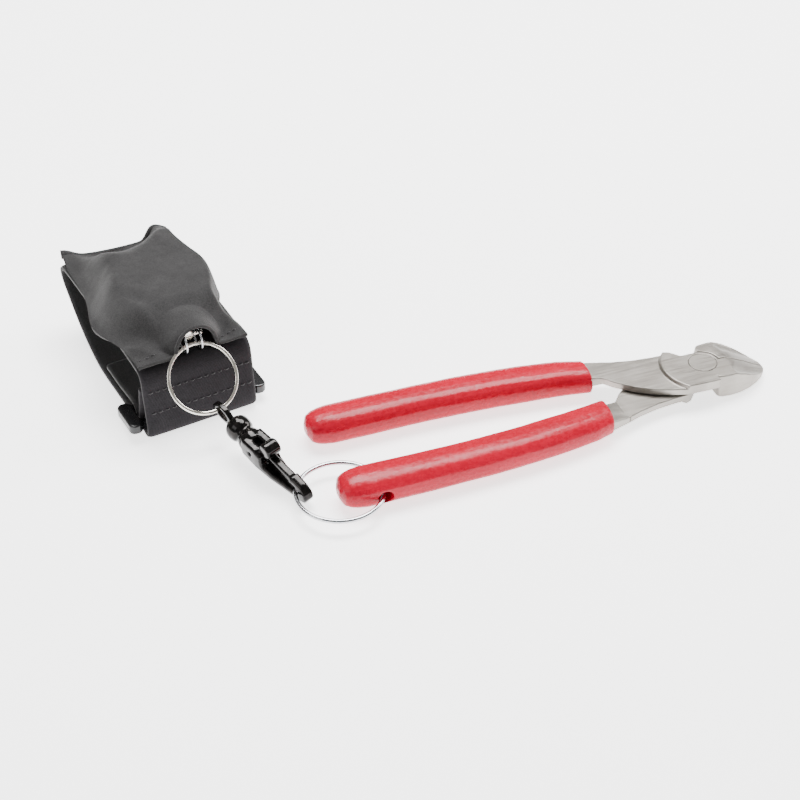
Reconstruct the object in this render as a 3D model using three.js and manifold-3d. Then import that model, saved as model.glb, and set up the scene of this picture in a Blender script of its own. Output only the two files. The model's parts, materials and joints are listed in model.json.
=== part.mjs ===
// Fishing pliers on a wrist-worn retractor: diagonal-jaw lap-joint pliers with dipped grips, a tether
// ring, a swivel snap, a split ring and a hooded reel on a strap. Millimetres, +Z up, +X along the
// closed pliers towards the jaws. Everything is modelled around the pliers' pivot, then moved so that
// the origin is the middle of the underside.
import * as THREE from 'three';
import { mergeVertices } from 'three/addons/utils/BufferGeometryUtils.js';
import Module from 'manifold-3d';

const wasm = await Module();
wasm.setup();

const V = (x, y, z = 0) => new THREE.Vector3(x, y, z);
const V2 = (x, y) => new THREE.Vector2(x, y);

// Driving dimensions
const GAP = 0.3;                      // left between neighbours
const JOINT_TOP = 12.2;               // upper face of the lap joint
const JOINT_LOW = 2.2;                // lower face of the lap joint
const MID = (JOINT_TOP + JOINT_LOW) / 2;
const DISC_R = 7.6;                   // lap disc round the pivot, on the jaw side
const BOSS_R = 19.8;                  // raised joint face round the pivot
const BOSS_STEP = 1.6;                // height of its edge
const RIVET_R = 4;
const RIVET_HEAD_R = 6.1;
const HEAD_GAP = 0.12;                // round the rivet's flush heads
const TANG_WIDTH = 11.6;
const TANG_THICK = 6.8;
const TANG_STEP = [-60, -44];         // where a half-thick plate grows into its full tang
const TANG_END = -148;
const GRIP_THICK = 14.4;
const GRIP_TAIL = -175;               // far end of the grips
const MOUTH_FAR = -49.2;
const MOUTH_NEAR = -52;
const TETHER_HOLE = V(-157, -21.4, 5.8);
const TETHER_HOLE_R = 3.2;
const TETHER_CENTRE = V(-173.3, -19.5, 5.8);
const TETHER_OD = 38;
const TETHER_WIRE = 2;
const SNAP_EYE = V(-208.4, 39.6, 16.5);   // end of the swivel eye
const SNAP_NOSE = V(-185.7, -18.3, 4.4);  // tip of the hook
const SNAP_TILT = 0.15;               // lean of the hook's plane, radians
const BAND_CORNER = V(-236.5, 45.5);  // left front corner of the strap
const BAND_TURN = THREE.MathUtils.degToRad(8.9);
const BAND_WIDTH = 50;
const BAND_THICK = 3.2;
const SPLIT_CENTRE = V(24.5, -4.8, 27.4);
const SPLIT_TILT = THREE.MathUtils.degToRad(52);  // lean back of the split ring from upright
const SPLIT_OD = 31;
const SPLIT_WIDE = 1.5;               // radial width of its flat wire
const SPLIT_COIL = 1.1;               // thickness of one turn
const JUMP_OD = 10;
const JUMP_WIRE = 1;
const JUMP_SPREAD = 3.4;              // each jump ring to the cord's line
const CORD_U = SPLIT_CENTRE.x;
const CORD_Z = 41.8;
const CORD_D = 1.5;
const REEL_R = 15;
const REEL_LOW = 36.3;
const REEL_HIGH = 47.3;
const WIND_R = 6;                     // radius that the cord leaves the spool at
const REEL_AT = [CORD_U + WIND_R, 47];

// Materials
const steel = () => new THREE.MeshStandardMaterial({ color: 0xb3ada6, roughness: 0.38, metalness: 0.9 });
const vinyl = () => new THREE.MeshStandardMaterial({ color: 0xd9141f, roughness: 0.35, metalness: 0 });
const nickel = () => new THREE.MeshStandardMaterial({ color: 0xd8d4cc, roughness: 0.15, metalness: 1 });
const gunmetal = () => new THREE.MeshStandardMaterial({ color: 0x2a2a2c, roughness: 0.15, metalness: 0.9 });
const fabric = () => new THREE.MeshStandardMaterial({ color: 0x35353a, roughness: 0.9, metalness: 0 });
const plastic = () => new THREE.MeshStandardMaterial({ color: 0x17171a, roughness: 0.3, metalness: 0 });
const cordage = () => new THREE.MeshStandardMaterial({ color: 0x222225, roughness: 0.8, metalness: 0 });

// ---- Helpers -----------------------------------------------------------------------------------

// A closed geometry as a solid that can be joined and cut.
function solid(geometry) {
  const bare = geometry.clone();
  bare.deleteAttribute('normal');
  bare.deleteAttribute('uv');
  const merged = mergeVertices(bare, 1e-4);
  const vertProperties = Float32Array.from(merged.attributes.position.array);
  const triVerts = Uint32Array.from(merged.index.array);
  return new wasm.Manifold(new wasm.Mesh({ numProp: 3, vertProperties, triVerts }));
}

// The geometry of a solid.
function shell(body) {
  const mesh = body.getMesh();
  const geometry = new THREE.BufferGeometry();
  geometry.setAttribute('position', new THREE.BufferAttribute(mesh.vertProperties, 3));
  geometry.setIndex(new THREE.BufferAttribute(mesh.triVerts, 1));
  geometry.computeVertexNormals();
  return geometry;
}

const join = (...bodies) => bodies.reduce((all, next) => all.add(next));
const cut = (body, ...tools) => tools.reduce((left, tool) => left.subtract(tool), body);

// A plan outline between two heights.
function slab(outline, low, high) {
  const shape = outline instanceof THREE.Shape ? outline : new THREE.Shape(outline);
  const geometry = new THREE.ExtrudeGeometry(shape, { depth: high - low, bevelEnabled: false, curveSegments: 10 });
  return geometry.translate(0, 0, low);
}

// A side outline (x, z) extruded along y between two places.
function sideSlab(outline, from, to) {
  const geometry = slab(outline, -to, -from);
  return geometry.rotateX(Math.PI / 2);
}

function disc(radius, low, high, at = [0, 0], sides = 40, top = radius) {
  const geometry = new THREE.CylinderGeometry(top, radius, high - low, sides);
  return geometry.rotateX(Math.PI / 2).translate(at[0], at[1], (low + high) / 2);
}

// Rings of points, each the same count, skinned with both ends capped.
function loft(rings) {
  const count = rings[0].length;
  const points = rings.flat();
  const faces = [];
  for (let r = 0; r + 1 < rings.length; r += 1) {
    for (let i = 0; i < count; i += 1) {
      const [a, b] = [r * count + i, r * count + (i + 1) % count];
      faces.push(a, b, a + count, b, b + count, a + count);
    }
  }
  const last = (rings.length - 1) * count;
  for (let i = 1; i + 1 < count; i += 1) {
    faces.push(0, i + 1, i, last, last + i, last + i + 1);
  }
  const geometry = new THREE.BufferGeometry().setFromPoints(points);
  geometry.setIndex(faces);
  geometry.computeVertexNormals();
  return geometry;
}

// A body of revolution about Y from [radius, height] pairs, in either order.
function lathe(profile, sides) {
  const points = profile.map(([r, y]) => V2(r, y));
  return new THREE.LatheGeometry(THREE.ShapeUtils.area(points) < 0 ? points.reverse() : points, sides);
}

// Rounded oblong section: halves w and h, power 2 is an ellipse and more is boxier.
function oblong(w, h, power, sides, place) {
  return Array.from({ length: sides }, (_, i) => {
    const t = (2 * Math.PI * i) / sides;
    const [c, s] = [Math.cos(t), Math.sin(t)];
    const p = 2 / power;
    return place(Math.sign(c) * Math.abs(c) ** p * w, Math.sign(s) * Math.abs(s) ** p * h);
  });
}

function torus(outer, wire, sides = 40, around = 8) {
  return new THREE.TorusGeometry((outer - wire) / 2, wire / 2, around, sides);
}

// A closed ring of rectangular section about Z: radii and half height.
function flatRing(inner, outer, low, high, sides = 48) {
  const profile = [V2(inner, low), V2(outer, low), V2(outer, high), V2(inner, high), V2(inner, low)];
  return new THREE.LatheGeometry(profile, sides).rotateX(Math.PI / 2);
}

// A round wire along a curve, closed at both ends.
function wireAlong(points, wire, steps) {
  const path = new THREE.CatmullRomCurve3(points, false, 'centripetal');
  const section = new THREE.Shape().absarc(0, 0, wire / 2, 0, 2 * Math.PI);
  const geometry = new THREE.ExtrudeGeometry(section, {
    steps, extrudePath: path, bevelEnabled: false, curveSegments: 6,
  });
  return geometry;
}

const model = new THREE.Group();
function add(name, geometry, material, home = model) {
  const mesh = new THREE.Mesh(geometry, material);
  mesh.name = name;
  home.add(mesh);
  return mesh;
}

// ---- Pliers ------------------------------------------------------------------------------------

// One lever lies above the lap plane and reaches from the far handle (+Y) to the near jaw (-Y). The
// other is the same forging turned over, so both are described once and mirrored.

// Middle of a handle from the head to its end, as x and y.
const HANDLE = [[-40, 11], [-48, 13.4], [-58, 16], [-76, 18.4], [-94, 20.1], [-113, 21],
  [-133, 21.4], [-153, 21.4], [GRIP_TAIL, 21.2]];
const handleLine = new THREE.CatmullRomCurve3(HANDLE.map(([x, y]) => V(x, y)), false, 'centripetal');

// Plan of a lever: its outer edge from the dip by the pivot to the grip, its inner edge, and its jaw.
const OUTER_EDGE = [[-4.9, 7], [-7.2, 7.9], [-8.6, 9.6], [-10.6, 11.7], [-13, 12.6], [-19, 12.9], [-27.5, 13.8],
  [-37, 15.9], [-41.5, 17.5], [-45, 18]];
const INNER_EDGE = [[-45, 6.8], [-41, 2], [-34, -4], [-27, -8.3], [-20, -11.2], [-13, -13.2], [-5, -13.5],
  [2, -13.6]];
const JAW_EDGE = [[1.6, -11.8], [2.2, -13], [3.6, -13.8], [8, -14.2], [13, -13.7], [18, -12.2], [22.5, -10], [26, -7.4],
  [28.6, -4.6], [29.9, -2.2], [30.2, -GAP / 2], [1.6, -GAP / 2]];
const JAW_DRAFT = 0.87;               // width of a jaw's top to that of its underside
// Side view of the jaws' top, x and z, from the flat face down to the tip.
const JAW_TOP = [[10.5, JOINT_TOP], [16, 9.8], [20.5, 7.6], [25.2, 5], [31, 2.4]];

const lapArc = Array.from({ length: 16 }, (_, i) => {
  const angle = THREE.MathUtils.degToRad(105 - 12 * i);
  return [DISC_R * Math.cos(angle), DISC_R * Math.sin(angle)];
});
const outline = (points, side = 1) => points.map(([x, y]) => V2(x, y * side));

function tangOutline(extra, from, to) {
  const edge = (side) => handleLine.getSpacedPoints(60)
    .map((p, i) => p.clone().addScaledVector(V(...perpendicular(handleLine.getTangentAt(i / 60))), side))
    .filter((p) => p.x < from && p.x > to).map((p) => [p.x, p.y]);
  return [...edge(TANG_WIDTH / 2 + extra), ...edge(-TANG_WIDTH / 2 - extra).reverse()];
}
function perpendicular(t) {
  return [t.y, -t.x];
}

// The upper lever's plate and tang; side -1 with flip gives the lower lever's.
function plate(side, flip) {
  const layer = MID + GAP / 2;
  const turn = (z) => (flip ? 2 * MID - z : z);
  const put = (points, low, high) => solid(slab(outline(points, side), Math.min(turn(low), turn(high)),
    Math.max(turn(low), turn(high))));
  const plan = [...OUTER_EDGE.slice().reverse(), ...lapArc, ...INNER_EDGE.slice().reverse()];
  const tangLow = MID - TANG_THICK / 2;
  const flatTop = JOINT_TOP - BOSS_STEP;
  const profile = [[TANG_END, tangLow], [TANG_STEP[0], tangLow], [TANG_STEP[1], layer], [12, layer], [12, flatTop],
    [TANG_END, flatTop]].map(([x, z]) => V2(x, turn(z)));
  const body = join(put(plan, tangLow, JOINT_TOP), put(tangOutline(0, -42, TANG_END), tangLow, flatTop));
  const low = body.intersect(solid(sideSlab(profile, -40, 40)));
  const bossDisc = disc(BOSS_R, layer, JOINT_TOP, [0, 0], 64, BOSS_R - 1.5);
  if (flip) bossDisc.rotateX(Math.PI).translate(0, 0, 2 * MID);
  const boss = put(plan, layer, JOINT_TOP).intersect(solid(bossDisc));
  return low.add(boss);
}

// A jaw: full depth ahead of the joint, drawn in towards its top and sloping to the tip, its top
// hollowed beside the cutting edge.
function jaw(side, lapBelow) {
  const drafted = slab(outline(JAW_EDGE, side), JOINT_LOW, JOINT_TOP);
  const corners = drafted.getAttribute('position');
  for (let i = 0; i < corners.count; i += 1) {
    if (corners.getZ(i) > MID && Math.abs(corners.getY(i)) > GAP) corners.setY(i, corners.getY(i) * JAW_DRAFT);
  }
  const block = solid(drafted);
  const profile = [[1, JOINT_LOW], [31, JOINT_LOW], ...JAW_TOP.slice().reverse(), [1, JOINT_TOP]]
    .map(([x, z]) => V2(x, z));
  const sloped = block.intersect(solid(sideSlab(profile, -20, 20)));
  const lap = disc(DISC_R + GAP, lapBelow ? JOINT_LOW - 1 : MID - GAP / 2, lapBelow ? MID + GAP / 2 : JOINT_TOP + 1);
  const slope = Math.atan2(JOINT_TOP - 2.4, 31 - 10.5);
  const scoop = new THREE.CapsuleGeometry(8, 40, 6, 24);
  scoop.rotateZ(-Math.PI / 2 + 0.2 * side).rotateY(slope).translate(33.4, -5.2 * side, 9.6);
  return cut(sloped, solid(lap), solid(scoop));
}

const rivetBore = () => solid(disc(RIVET_R + GAP, 0, JOINT_TOP + 1, [0, 0], 32));
const headSeat = () => join(solid(disc(RIVET_HEAD_R + HEAD_GAP, JOINT_TOP - 1.2, JOINT_TOP + 1, [0, 0], 48)),
  solid(disc(RIVET_HEAD_R + HEAD_GAP, JOINT_LOW - 1, JOINT_LOW + 1.2, [0, 0], 48)));

function lever(side, flip) {
  return shell(cut(join(plate(side, flip), jaw(side, !flip)), rivetBore(), headSeat()));
}

function rivet() {
  const profile = [V2(0, JOINT_LOW), V2(RIVET_HEAD_R, JOINT_LOW), V2(RIVET_HEAD_R, JOINT_LOW + 0.9),
    V2(RIVET_R, JOINT_LOW + 0.9), V2(RIVET_R, JOINT_TOP - 0.9), V2(RIVET_HEAD_R, JOINT_TOP - 0.9),
    V2(RIVET_HEAD_R, JOINT_TOP), V2(0, JOINT_TOP)];
  return new THREE.LatheGeometry(profile, 48).rotateX(Math.PI / 2);
}

// Half width and half height of a dipped grip at places along it, from the mouth to the tail.
const GRIP_SIZES = [[-44, 7.7, 5.9], [-60, 8.5, 6.5], [-78, 8.8, 6.9], [-100, 8.7, 7], [-125, 8.7, 7.1], [-150, 9, GRIP_THICK / 2],
  [-164, 9.2, GRIP_THICK / 2], [-170, 8.4, 6.6], [-173.4, 6.4, 5], [GRIP_TAIL, 2.6, 2]];

function sizeAt(x) {
  const after = Math.max(1, GRIP_SIZES.findIndex(([at]) => at <= x));
  const [a, b] = [GRIP_SIZES[after - 1], GRIP_SIZES[after]];
  const t = (x - a[0]) / (b[0] - a[0]);
  return [THREE.MathUtils.lerp(a[1], b[1], t), THREE.MathUtils.lerp(a[2], b[2], t)];
}

function grip(side, mouthAt) {
  const stations = [-44, -50, -60, -70, -78, -90, -108, -125, -140, -150, -158, -164, -168, -171, -173.4, GRIP_TAIL];
  const rings = stations.map((x) => {
    const [w, h] = sizeAt(x);
    const middle = handleAt(x);
    return oblong(w, h, 2.5, 20, (a, b) => V(x, (middle + a) * side, MID + b));
  });
  const body = solid(loft(side > 0 ? rings.map((ring) => ring.slice().reverse()) : rings));
  const pocket = solid(slab(outline(tangOutline(GAP, -42, TANG_END - GAP), side),
    MID - TANG_THICK / 2 - GAP, MID + TANG_THICK / 2 + GAP));
  const mouth = new THREE.BoxGeometry(20, 60, 30).translate(mouthAt + 10, 14 * side, MID);
  return cut(body, pocket, solid(mouth));
}
function handleAt(x) {
  const points = handleLine.getPoints(80);
  const next = points.findIndex((p) => p.x <= x);
  if (next < 1) return points[next < 0 ? points.length - 1 : 0].y;
  const [a, b] = [points[next - 1], points[next]];
  return THREE.MathUtils.lerp(a.y, b.y, (x - a.x) / (b.x - a.x));
}

add('lever_top', lever(1, false), steel());
add('lever_bottom', lever(-1, true), steel());
add('pivot_rivet', rivet(), steel());
add('grip_far', shell(grip(1, MOUTH_FAR)), vinyl());
const tetherBore = disc(TETHER_HOLE_R, -20, 20, [0, 0], 24).rotateX(Math.PI / 2)
  .translate(TETHER_HOLE.x, TETHER_HOLE.y, TETHER_HOLE.z);
add('grip_near', shell(cut(grip(-1, MOUTH_NEAR), solid(tetherBore))), vinyl());
add('tether_ring', torus(TETHER_OD, TETHER_WIRE, 48), nickel()).position.copy(TETHER_CENTRE);

// ---- Swivel snap -------------------------------------------------------------------------------

// Built along its own X from the eye (0) to the nose, with its hook in the X-Z plane.
const snap = new THREE.Group();
const along = SNAP_NOSE.clone().sub(SNAP_EYE).normalize();
const upright = V(0, 0, 1).addScaledVector(along, -along.z).normalize();
const sideways = upright.clone().cross(along).normalize();
const lean = upright.clone().multiplyScalar(Math.cos(SNAP_TILT)).addScaledVector(sideways, -Math.sin(SNAP_TILT));
snap.quaternion.setFromRotationMatrix(new THREE.Matrix4().makeBasis(along, lean.clone().cross(along), lean));
snap.position.copy(SNAP_EYE);
model.add(snap);

const EYE_LENGTH = 12.4;
const STEM_R = 1.5;
const STEM_END = 23.5;
const PIN_AT = [30.5, 1];
const PIN_R = 0.9;
const SPRING_AT = 35.2;

// A lathe profile of [radius, place along X] pairs.
const turned = (profile, sides = 24) => lathe(profile, sides).rotateZ(-Math.PI / 2);
const flat = (shape, thick) => sideSlab(shape, -thick / 2, thick / 2);

function swivelEye() {
  const half = EYE_LENGTH / 2;
  const eye = new THREE.Shape().absellipse(half, 0, half, 3.9, 0, 2 * Math.PI);
  eye.holes.push(new THREE.Path().absellipse(half, 0, half - 2.2, 2.5, 0, 2 * Math.PI));
  const stem = turned([[0, EYE_LENGTH - 1], [STEM_R, EYE_LENGTH - 1], [STEM_R, STEM_END - 2],
    [STEM_R + 1, STEM_END - 2], [STEM_R + 1, STEM_END], [0, STEM_END]]);
  return shell(join(solid(flat(eye, 2.2)), solid(stem)));
}

function snapBody() {
  const collar = turned([[0, 13], [3.4, 13], [4.9, 14.6], [5.2, 16.8], [4.9, 19], [3.9, 20.4], [4, 21.6], [4.9, 23.6],
    [5, 28], [0, 28]]);
  const hook = [[25, -3.9], [33, -4.3], [46, -4.7], [54, -4.7], [59, -4.1], [62, -2.2], [63, 0.4], [62.2, 2.8],
    [59.4, 4.7], [53.2, 5.3], [52.6, 3.2], [56.4, 2.9], [58.4, 1.4], [58.4, -1], [56.6, -2.3], [45, -2.1],
    [38.5, -1.4], [37, 0], [36.6, 4], [33, 5], [25, 4.2]].map(([x, z]) => V2(x, z));
  const stock = turned([[0, 24], [4.9, 24], [5, 34], [4.2, 42], [3, 49], [2.1, 55], [1.9, 63.5], [0, 63.5]])
    .scale(1, 1, 4);
  const slot = [[27.6, -1.6], [38, -1.6], [38, 8], [27.6, 8]].map(([x, z]) => V2(x, z));
  const bore = turned([[0, 12], [STEM_R + GAP, 12], [STEM_R + GAP, 21], [STEM_R + 1 + GAP, 21],
    [STEM_R + 1 + GAP, STEM_END + 0.5], [0, STEM_END + 0.5]]);
  const pinBore = disc(PIN_R + GAP, -5, 5, [0, 0], 16).rotateX(Math.PI / 2).translate(PIN_AT[0], 0, PIN_AT[1]);
  const seat = disc(1.6, -3, 1, [SPRING_AT, 0], 16);
  const body = solid(flat(hook, 10)).intersect(solid(stock));
  return shell(cut(join(solid(collar), body), solid(flat(slot, 3.4)), solid(bore), solid(pinBore), solid(seat)));
}

function snapTrigger() {
  const lever = [[28.4, -0.4], [30.5, -1.2], [34, -0.3], [37.4, 1.5], [44, 2.2], [52.1, 3], [52.3, 4.6], [44, 4.4],
    [39.6, 4.3], [39.2, 7.6], [37.6, 8.8], [35.4, 8.2], [34.6, 5.8], [31, 3.4], [28.6, 2.4]]
    .map(([x, z]) => V2(x, z));
  const knob = disc(3, -3.1, 3.1, [0, 0], 24).rotateX(Math.PI / 2).translate(38, 0, 8.2);
  const pinBore = disc(PIN_R + GAP, -5, 5, [0, 0], 16).rotateX(Math.PI / 2).translate(PIN_AT[0], 0, PIN_AT[1]);
  return shell(cut(join(solid(flat(lever, 2.8)), solid(knob)), solid(pinBore)));
}

function helix(radius, wire, low, high, turns) {
  const count = turns * 10;
  const points = Array.from({ length: count + 1 }, (_, i) => {
    const angle = (2 * Math.PI * i) / 10;
    return V(radius * Math.cos(angle), radius * Math.sin(angle), low + ((high - low) * i) / count);
  });
  return wireAlong(points, wire, count);
}

add('swivel_eye', swivelEye(), gunmetal(), snap);
add('snap_body', snapBody(), gunmetal(), snap);
add('snap_trigger', snapTrigger(), gunmetal(), snap);
add('trigger_pin', disc(PIN_R, -3.9, 3.9, [0, 0], 16).rotateX(Math.PI / 2), gunmetal(), snap)
  .position.set(PIN_AT[0], 0, PIN_AT[1]);
add('trigger_spring', helix(0.9, 0.4, -2.6, -0.9, 3), nickel(), snap).position.set(SPRING_AT, 0, 0);

// ---- Split ring, jump rings and cord end -------------------------------------------------------

// The pouch's own frame: X along the strap's width, Y to the back.
const pouch = new THREE.Group();
pouch.position.copy(BAND_CORNER);
pouch.rotation.z = BAND_TURN;
model.add(pouch);

const splitHalf = SPLIT_COIL + 0.05;
const split = flatRing(SPLIT_OD / 2 - SPLIT_WIDE, SPLIT_OD / 2, -splitHalf, splitHalf).rotateX(SPLIT_TILT);
add('split_ring', split, nickel(), pouch).position.copy(SPLIT_CENTRE);

const JUMP_AT = [5.5, 40.2];
const BAR_Y = 7.3;
for (const [name, side] of [['left', -1], ['right', 1]]) {
  add(`jump_ring_${name}`, torus(JUMP_OD, JUMP_WIRE, 32).rotateY(Math.PI / 2), nickel(), pouch)
    .position.set(CORD_U + side * JUMP_SPREAD, ...JUMP_AT);
}

const CRIMP_END = 15;
function cordEnd() {
  const barrel = disc(2, BAR_Y - 0.6, CRIMP_END, [0, 0], 24, 1.5).rotateX(-Math.PI / 2);
  const bar = disc(0.8, -5, 5, [0, 0], 16).rotateY(Math.PI / 2).translate(0, BAR_Y, 0);
  const balls = [-1, 1].map((side) => solid(new THREE.SphereGeometry(1.2, 16, 10).translate(side * 5.2, BAR_Y, 0)));
  const bore = disc(CORD_D / 2 + GAP, CRIMP_END - 4, CRIMP_END + 1, [0, 0], 16).rotateX(-Math.PI / 2);
  return shell(cut(join(solid(barrel), solid(bar), ...balls), solid(bore)));
}

// ---- Reel --------------------------------------------------------------------------------------

const REEL_SPLIT = 41.8;
const POST_R = 2;
const SPOOL_R = 11.6;
const HUB_R = 3.1;
const WALL = 1.4;
const CHAMFER = 3;

// A lathe profile of [radius, height] pairs about the reel's axis.
const reelTurned = (profile, sides = 40) => lathe(profile, sides).rotateX(Math.PI / 2)
  .translate(REEL_AT[0], REEL_AT[1], 0);
const cordWay = () => solid(new THREE.BoxGeometry(3, 24, 3)
  .translate(CORD_U, REEL_AT[1] - REEL_R, CORD_Z));

function caseBase() {
  const inner = REEL_R - WALL;
  return shell(cut(solid(reelTurned([[0, REEL_LOW], [REEL_R - 1, REEL_LOW], [REEL_R, REEL_LOW + 1],
    [REEL_R, REEL_SPLIT - GAP / 2], [inner, REEL_SPLIT - GAP / 2], [inner, REEL_LOW + 1], [POST_R, REEL_LOW + 1],
    [POST_R, 45.2], [1.4, 45.2], [1.4, 39], [0, 39]])), cordWay()));
}

function caseCover() {
  const inner = REEL_R - WALL;
  return shell(cut(solid(reelTurned([[2.9, REEL_HIGH], [REEL_R - CHAMFER, REEL_HIGH], [REEL_R, REEL_HIGH - CHAMFER],
    [REEL_R, REEL_SPLIT + GAP / 2], [inner, REEL_SPLIT + GAP / 2], [inner, REEL_HIGH - CHAMFER - 0.4],
    [REEL_R - CHAMFER - 0.6, REEL_HIGH - 1], [1.5, REEL_HIGH - 1], [1.5, REEL_HIGH - 0.8], [2.9, REEL_HIGH - 0.8],
    [2.9, REEL_HIGH]])), cordWay()));
}

function spool() {
  const bore = POST_R + GAP;
  return reelTurned([[bore, 39.3], [SPOOL_R, 39.3], [SPOOL_R, 40.2], [HUB_R, 40.2], [HUB_R, 43.4], [SPOOL_R - 1, 43.4],
    [SPOOL_R - 1, 44.2], [bore, 44.2], [bore, 39.3]]);
}

function winding() {
  const outer = WIND_R - CORD_D / 2 - GAP / 2;
  return reelTurned([[HUB_R + GAP, 40.5], [outer - 0.3, 40.5], [outer, 40.9], [outer, 42.7], [outer - 0.3, 43.1],
    [HUB_R + GAP, 43.1], [HUB_R + GAP, 40.5]]);
}

function mainspring() {
  const turns = 4;
  const steps = turns * 20;
  const edge = (offset) => Array.from({ length: steps + 1 }, (_, i) => {
    const angle = (2 * Math.PI * i) / 20;
    const radius = 2.7 + (8.6 * i) / steps + offset;
    return V2(radius * Math.cos(angle), radius * Math.sin(angle));
  });
  return slab([...edge(0), ...edge(0.5).reverse()], 37.7, 38.9).translate(REEL_AT[0], REEL_AT[1], 0);
}

const spindle = reelTurned([[0, 40], [1.1, 40], [1.1, REEL_HIGH - 0.5], [2.6, REEL_HIGH - 0.5], [2.6, REEL_HIGH + 0.3],
  [1.6, REEL_HIGH + 0.7], [0, REEL_HIGH + 0.7]], 24);

add('cord_end', cordEnd(), nickel(), pouch).position.set(CORD_U, 0, CORD_Z);
const cordLength = REEL_AT[1] - CRIMP_END + 3.4;
add('pull_cord', disc(CORD_D / 2, 0, cordLength, [0, 0], 12).rotateX(-Math.PI / 2), cordage(), pouch)
  .position.set(CORD_U, CRIMP_END - 3.4, CORD_Z);
add('case_base', caseBase(), plastic(), pouch);
add('case_cover', caseCover(), plastic(), pouch);
add('reel_spool', spool(), plastic(), pouch);
add('cord_winding', winding(), cordage(), pouch);
add('mainspring', mainspring(), steel(), pouch);
add('spindle_screw', spindle, steel(), pouch);

// ---- Strap, buckle and hood --------------------------------------------------------------------

const BAR = { thick: 2.8, plate: 4, middle: 5.4, front: 5.4, rear: 16.6, inner: 0.8, end: 3, overhang: 6.5, lip: 1.6 };
const ROUND_BAR = 3.7;   // strap's middle to a bar's middle

// The strap's middle line seen from the side: sewn behind the front panel, under the front bar, up the
// panel, over the top, round the back fold, along the floor, up round the rear bar and back on itself.
const round = (bar, from, to, count = 5) => Array.from({ length: count }, (_, i) => {
  const angle = THREE.MathUtils.degToRad(from + ((to - from) * i) / (count - 1));
  return [bar + ROUND_BAR * Math.cos(angle), BAR.middle + ROUND_BAR * Math.sin(angle)];
});
const STRAP_LINE = [[6.3, 23], [7.6, 14], [9.1, 6], [8.2, 3], [5.8, 1.75], [3.1, 1.75], [1.2, 3.4], [0.8, 7.5],
  [1.4, 14], [2.4, 24], [3.3, 29.4],
  [5.6, 32.1], [10, 32.7], [25, 33.5], [60, 33.7], [85, 33.6], [91.5, 32.9], [94.9, 30], [93.4, 26], [87, 19.8],
  [77, 12], [67, 6.3], [57, 2.8], [47, 1.7], [40, 1.7], [30, 1.7], [24, 1.7], ...round(BAR.rear, -90, -270), [22, 8.9], [30, 8.2],
  [46, 8.2]];

function strap() {
  const line = new THREE.CatmullRomCurve3(STRAP_LINE.map(([y, z]) => V(y, z)), false, 'centripetal');
  const steps = 150;
  const edge = (side) => Array.from({ length: steps + 1 }, (_, i) => {
    const p = line.getPointAt(i / steps);
    const [nx, ny] = perpendicular(line.getTangentAt(i / steps));
    return V2(p.x + nx * side * (BAND_THICK / 2), p.y + ny * side * (BAND_THICK / 2));
  });
  return slab([...edge(1), ...edge(-1).reverse()], 0, BAND_WIDTH);
}
// A side outline (back, up) extruded across the strap's width.
const acrossStrap = (geometry) => geometry.applyMatrix4(
  new THREE.Matrix4().makeBasis(V(0, 1, 0), V(0, 0, 1), V(1, 0, 0)));

// A flat frame of two bars joined by a broad rounded plate at each end.
function buckle() {
  const rounded = (left, right, low, high, corner) => {
    const path = new THREE.Shape();
    path.absarc(right - corner, low + corner, corner, -Math.PI / 2, 0);
    path.absarc(right - corner, high - corner, corner, 0, Math.PI / 2);
    path.absarc(left + corner, high - corner, corner, Math.PI / 2, Math.PI);
    path.absarc(left + corner, low + corner, corner, Math.PI, 1.5 * Math.PI);
    return path;
  };
  const [front, rear] = [BAR.front - BAR.thick / 2, BAR.rear + BAR.thick / 2];
  const bars = rounded(-BAR.end, BAND_WIDTH + BAR.end, front, rear, 1);
  bars.holes.push(rounded(-BAR.inner, BAND_WIDTH + BAR.inner, front + BAR.thick, rear - BAR.thick, 0.8));
  const plate = rounded(-BAR.overhang, -BAR.inner, front - BAR.lip, rear + BAR.lip, 2.6);
  const plates = [0, BAND_WIDTH + BAR.overhang + BAR.inner].map((across) => solid(
    slab(plate, BAR.middle - BAR.plate / 2, BAR.middle + BAR.plate / 2).translate(across, 0, 0)));
  return shell(join(solid(slab(bars, BAR.middle - BAR.thick / 2, BAR.middle + BAR.thick / 2)), ...plates));
}

// Height of the hood's outer face over the pouch's frame.
const HOOD = { base: 37.2, dome: 50.4, mouth: 49.6, middle: 26, halfMouth: 12, front: 3.9, thick: 1.6 };
const ease = (t) => Math.sin((Math.PI / 2) * Math.min(1, Math.max(0, t))) ** 2;
const hill = (at, middle, wide) => Math.exp(-(((at - middle) / wide) ** 2));
// The hood's left, right and back edges: it bulges past the strap beside the reel.
const hoodLeft = (y) => -0.6 - 5.4 * hill(y, 40, 15);
const hoodRight = (y) => 48.8 + 5 * hill(y, 48, 15);
const hoodBack = (x) => 94 - 0.1 * x - 2.2 * Math.sin((Math.PI * x) / BAND_WIDTH);
function hoodTop(x, y) {
  const dome = (HOOD.dome - HOOD.base) * ease((x - hoodLeft(y)) / 15) * ease((hoodRight(y) + 1 - x) / 6)
    * ease((y - 6) / 22) * ease((hoodBack(x) - y) / (27 - 11 * ease((x - 22) / 20)));
  const arch = (HOOD.mouth - HOOD.base) * Math.sqrt(Math.max(0, 1 - ((x - HOOD.middle) / (HOOD.halfMouth + 0.4 * (y - HOOD.front))) ** 2))
    * (1 - ease((y - 9) / 22));
  const ear = (ex, ey, high, wide) => high * hill(x, ex, wide) * hill(y, ey, wide);
  return HOOD.base + Math.max(dome, arch) + ear(1, 93, 2.2, 7) + ear(44.5, 87, 6.2, 7);
}

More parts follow.
